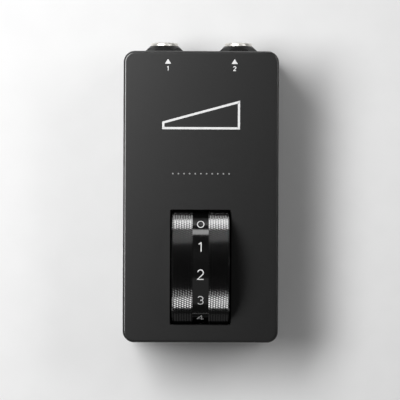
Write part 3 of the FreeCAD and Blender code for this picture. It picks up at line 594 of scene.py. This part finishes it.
def make_jack_marks():
    """An arrow and a number for each jack."""
    bm = bmesh.new()
    arrow = [(-ARROW_WIDTH / 2, -ARROW_HEIGHT / 2), (ARROW_WIDTH / 2, -ARROW_HEIGHT / 2),
             (0, ARROW_HEIGHT / 2)]
    for side, number in ((-1, "1"), (1, "2")):
        add_plate(bm, arrow, face_place(side * MARK_X, ARROW_Y))
        add_digits(bm, number, LABEL_HEIGHT, LABEL_STROKE, 0, face_place(side * MARK_X, LABEL_Y))
    return new_object("jack_marks", bm)


def make_wedge_mark():
    """A thin outlined wedge, blunt at its low end, that stands for rising volume."""
    bm = bmesh.new()
    half_width = (WEDGE_WIDTH - WEDGE_STROKE) / 2
    half_height = (WEDGE_HEIGHT - WEDGE_STROKE) / 2
    corners = [(-half_width, -half_height), (half_width, -half_height), (half_width, half_height),
               (-half_width, WEDGE_LOW_END - half_height)]
    add_ribbon(bm, corners, True, WEDGE_STROKE, face_place(0, WEDGE_Y))
    return new_object("wedge_mark", bm)


def make_dots_mark():
    """A row of small dots."""
    bm = bmesh.new()
    dot = ring_points((0, 0), DOT_RADIUS, DOT_RADIUS, DOT_SIDES)
    for index in range(DOTS):
        x = (index / (DOTS - 1) - 0.5) * DOTS_SPAN
        add_plate(bm, dot, face_place(x, DOTS_Y))
    return new_object("dots_mark", bm)


# ---- Stage ----

def make_floor():
    """A pale sheet under the feet."""
    bm = bmesh.new()
    half = FLOOR_WIDTH / 2 * MM
    corners = [bm.verts.new((x * half, y * half, 0)) for x, y in ((-1, -1), (1, -1), (1, 1), (-1, 1))]
    bm.faces.new(corners)
    floor = new_object("floor", bm)
    give(floor, grained("pale_floor", (FLOOR_SHADE,) * 3, 0.7, 2.0, 0.01, spread=0.01))


def add_panel(name, azimuth, elevation, distance, width, height, radiance):
    """A flat light that faces the middle of the face."""
    turn = math.radians(azimuth)
    tilt = math.radians(elevation)
    level = math.cos(tilt)
    direction = Vector((math.sin(turn) * level, math.cos(turn) * level, math.sin(tilt)))
    data = bpy.data.lights.new(name, "AREA")
    data.shape = "RECTANGLE"
    data.size = width
    data.size_y = height
    data.energy = radiance * math.pi * width * height
    light = bpy.data.objects.new(name, data)
    light.location = FACE_MIDDLE + direction * distance
    light.rotation_euler = direction.to_track_quat("Z", "Y").to_euler()
    bpy.context.scene.collection.objects.link(light)


def make_lights():
    """A soft key from the upper left, a weaker box on the right, a low strip at the far side, and two
    dim cards, one near and one at the left."""
    for name, panel in PANELS.items():
        add_panel(name, *panel)


def make_world():
    """A dim surround for the light, and a pale one for the camera to look at."""
    world = bpy.data.worlds.new("studio")
    bpy.context.scene.world = world
    world.use_nodes = True
    nodes, links = world.node_tree.nodes, world.node_tree.links
    background = nodes["Background"]
    path = nodes.new("ShaderNodeLightPath")
    mix = nodes.new("ShaderNodeMix")
    mix.data_type = "RGBA"
    mix.inputs["A"].default_value = (SURROUND_LIGHT, SURROUND_LIGHT, SURROUND_LIGHT, 1)
    mix.inputs["B"].default_value = (SURROUND_SEEN, SURROUND_SEEN, SURROUND_SEEN, 1)
    links.new(path.outputs["Is Camera Ray"], mix.inputs["Factor"])
    links.new(mix.outputs["Result"], background.inputs["Color"])


def make_camera():
    """Straight down, a metre over the face, turned a little as in the photograph."""
    data = bpy.data.cameras.new("camera")
    data.sensor_width = SENSOR
    data.lens = SENSOR * VIEW_DISTANCE / VIEW_WIDTH
    camera = bpy.data.objects.new("camera", data)
    camera.location = FACE_MIDDLE + Vector((VIEW_X, VIEW_Y, VIEW_DISTANCE)) * MM
    camera.rotation_euler = (0, 0, math.radians(VIEW_TURN))
    bpy.context.scene.collection.objects.link(camera)
    bpy.context.scene.camera = camera


# ---- Putting it together ----

def finish_cad_nodes(slots):
    """Gives each CAD node the material of its slot, and smooth shading."""
    node_slots = {part["node"]: part["material_slot"] for part in frame["record"]["subparts"]}
    for node, piece in frame["nodes"].items():
        give(piece, slots[node_slots[node]])
        smooth_below(piece.data, CAD_SHARP_ANGLE)


def place_wheel(slots):
    """The knurled wheel, which stands for the CAD wheel."""
    wheel = make_wheel()
    give(wheel, slots["black_anodised"])
    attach(wheel, "wheel")
    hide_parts("roller_wheel")


def place_marks(slots):
    """The print on the face and the wheel. The row of dots is in a duller ink."""
    ink = slots["white_print"]
    dull_ink = grained("worn_print", (0.25,) * 3, 0.5, 0.3, 0.002, spread=0.05)
    for mark, made, body in ((make_dial_numbers(), ink, "wheel"),
                             (make_jack_marks(), ink, "enclosure"),
                             (make_wedge_mark(), ink, "enclosure"),
                             (make_dots_mark(), dull_ink, "enclosure")):
        give(mark, made)
        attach(mark, body)


make_camera()
slots = slot_materials()
finish_cad_nodes(slots)
place_wheel(slots)
place_marks(slots)
make_floor()
make_world()
make_lights()
bpy.context.scene.view_settings.view_transform = "Standard"
